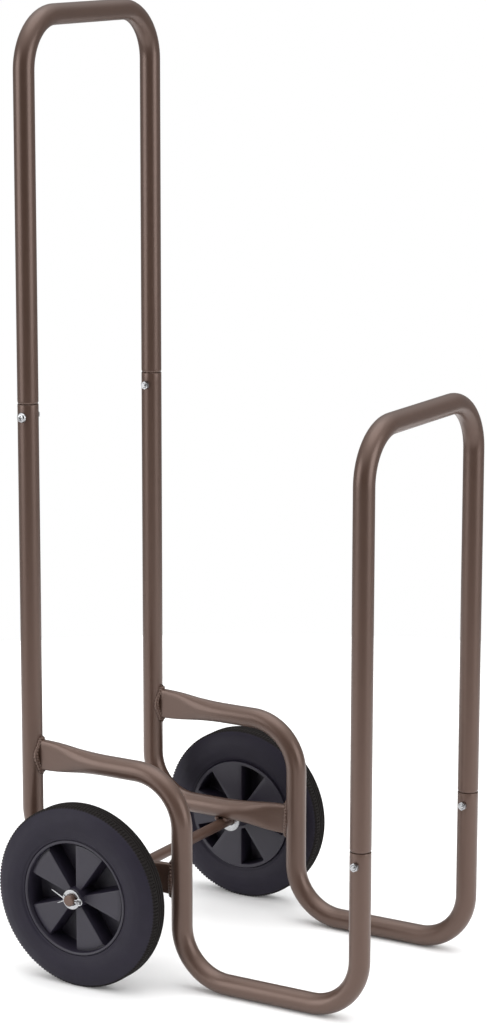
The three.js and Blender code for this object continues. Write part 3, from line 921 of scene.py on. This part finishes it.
def overhead_glow():
    """A very wide distant light straight above, which whitens the floor and leaves soft contact shadows."""
    data = bpy.data.lights.new("overhead_glow", "SUN")
    data.energy, data.angle = 1.15, math.radians(60)
    light = bpy.data.objects.new("overhead_glow", data)
    light.location = (0, 0, 4)
    bpy.context.scene.collection.objects.link(light)


def studio_world():
    """A tent that is dark at its opening on the camera's side, w = direction . opening, and bright
    overhead, by the direction's height. The camera itself sees plain white."""
    world = bpy.data.worlds.new("studio_tent")
    bpy.context.scene.world = world
    world.use_nodes = True
    tree = world.node_tree
    tree.nodes.clear()
    direction = add(tree, "ShaderNodeTexCoord").outputs["Generated"]
    opening = (math.sin(CAMERA_YAW), -math.cos(CAMERA_YAW), 0.0)
    lean = add(tree, "ShaderNodeVectorMath", {1: opening}, {0: direction}, operation="DOT_PRODUCT")
    fall = add(tree, "ShaderNodeMapRange",
               {"From Min": 0.6, "From Max": 0.9, "To Min": TENT_STRENGTH, "To Max": OPENING_STRENGTH},
               {"Value": lean.outputs["Value"]}, interpolation_type="SMOOTHSTEP")
    height = add(tree, "ShaderNodeSeparateXYZ", None, {"Vector": direction}).outputs["Z"]
    lift = add(tree, "ShaderNodeMapRange", {"From Min": 0.3, "From Max": 0.85, "To Max": 1.0},
               {"Value": height}, interpolation_type="SMOOTHSTEP")
    total = add(tree, "ShaderNodeMath", None, {0: fall.outputs["Result"], 1: lift.outputs["Result"]})
    seen = add(tree, "ShaderNodeLightPath").outputs["Is Camera Ray"]
    level = add(tree, "ShaderNodeMapRange", {"To Max": 1.0},
                {"Value": seen, "To Min": total.outputs["Value"]})
    background = add(tree, "ShaderNodeBackground", {"Color": (1, 1, 1, 1)},
                     {"Strength": level.outputs["Result"]})
    output = add(tree, "ShaderNodeOutputWorld")
    tree.links.new(background.outputs["Background"], output.inputs["Surface"])


class RACK_OT_stage(RackOperator, bpy.types.Operator):
    """Build the floor, the lights, the surround and the camera"""

    bl_idname = "rack.stage"
    bl_label = "Stage"

    def execute(self, context):
        _, colours = self.settings(context)
        turn = np.linspace(0, 2 * np.pi, FLOOR_CORNERS, endpoint=False)
        edge = FLOOR_R * np.stack([np.cos(turn), np.sin(turn), 0 * turn], -1)
        mesh = bpy.data.meshes.new("studio_floor")
        mesh.from_pydata(edge.tolist(), [], [list(range(FLOOR_CORNERS))])
        mesh.materials.append(material_once(floor_material, colours))
        floor = bpy.data.objects.new("studio_floor", mesh)
        context.scene.collection.objects.link(floor)
        soft_box("left_softbox", (-1.9, -2.45, 1.1), LIGHT_TARGET, 2.1, 2.2, 46)
        soft_box("right_softbox", (3.1, 0.0, 1.1), LIGHT_TARGET, 2.1, 2.2, 50)
        overhead_glow()
        studio_world()
        studio_camera()
        context.scene.view_settings.view_transform = "Standard"
        return {"FINISHED"}


STEPS = (RACK_OT_stage, RACK_OT_hoops, RACK_OT_side_frames, RACK_OT_welds, RACK_OT_axle, RACK_OT_wheels,
         RACK_OT_hardware)


class RACK_PT_panel(bpy.types.Panel):
    """The rack's building steps and settings in the sidebar."""

    bl_idname = "RACK_PT_panel"
    bl_label = "Log Rack"
    bl_space_type = "VIEW_3D"
    bl_region_type = "UI"
    bl_category = "Log Rack"

    def draw(self, context):
        for step in STEPS:
            self.layout.operator(step.bl_idname)
        for group in (context.scene.rack_sizes, context.scene.rack_colours):
            for key in group.bl_rna.properties.keys():
                if key not in ("rna_type", "name"):
                    self.layout.prop(group, key)


CLASSES = (RackSizes, RackColours, *STEPS, RACK_PT_panel)


def register():
    for item in CLASSES:
        bpy.utils.register_class(item)
    bpy.types.Scene.rack_sizes = PointerProperty(type=RackSizes)
    bpy.types.Scene.rack_colours = PointerProperty(type=RackColours)


def unregister():
    del bpy.types.Scene.rack_colours
    del bpy.types.Scene.rack_sizes
    for item in reversed(CLASSES):
        bpy.utils.unregister_class(item)


def main():
    """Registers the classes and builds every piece."""
    register()
    for step in STEPS:
        group, action = step.bl_idname.split(".")
        if getattr(getattr(bpy.ops, group), action)() != {"FINISHED"}:
            raise RuntimeError(f"{step.bl_label} wasn't built")
    bpy.context.view_layer.update()


if __name__ == "__main__":
    main()
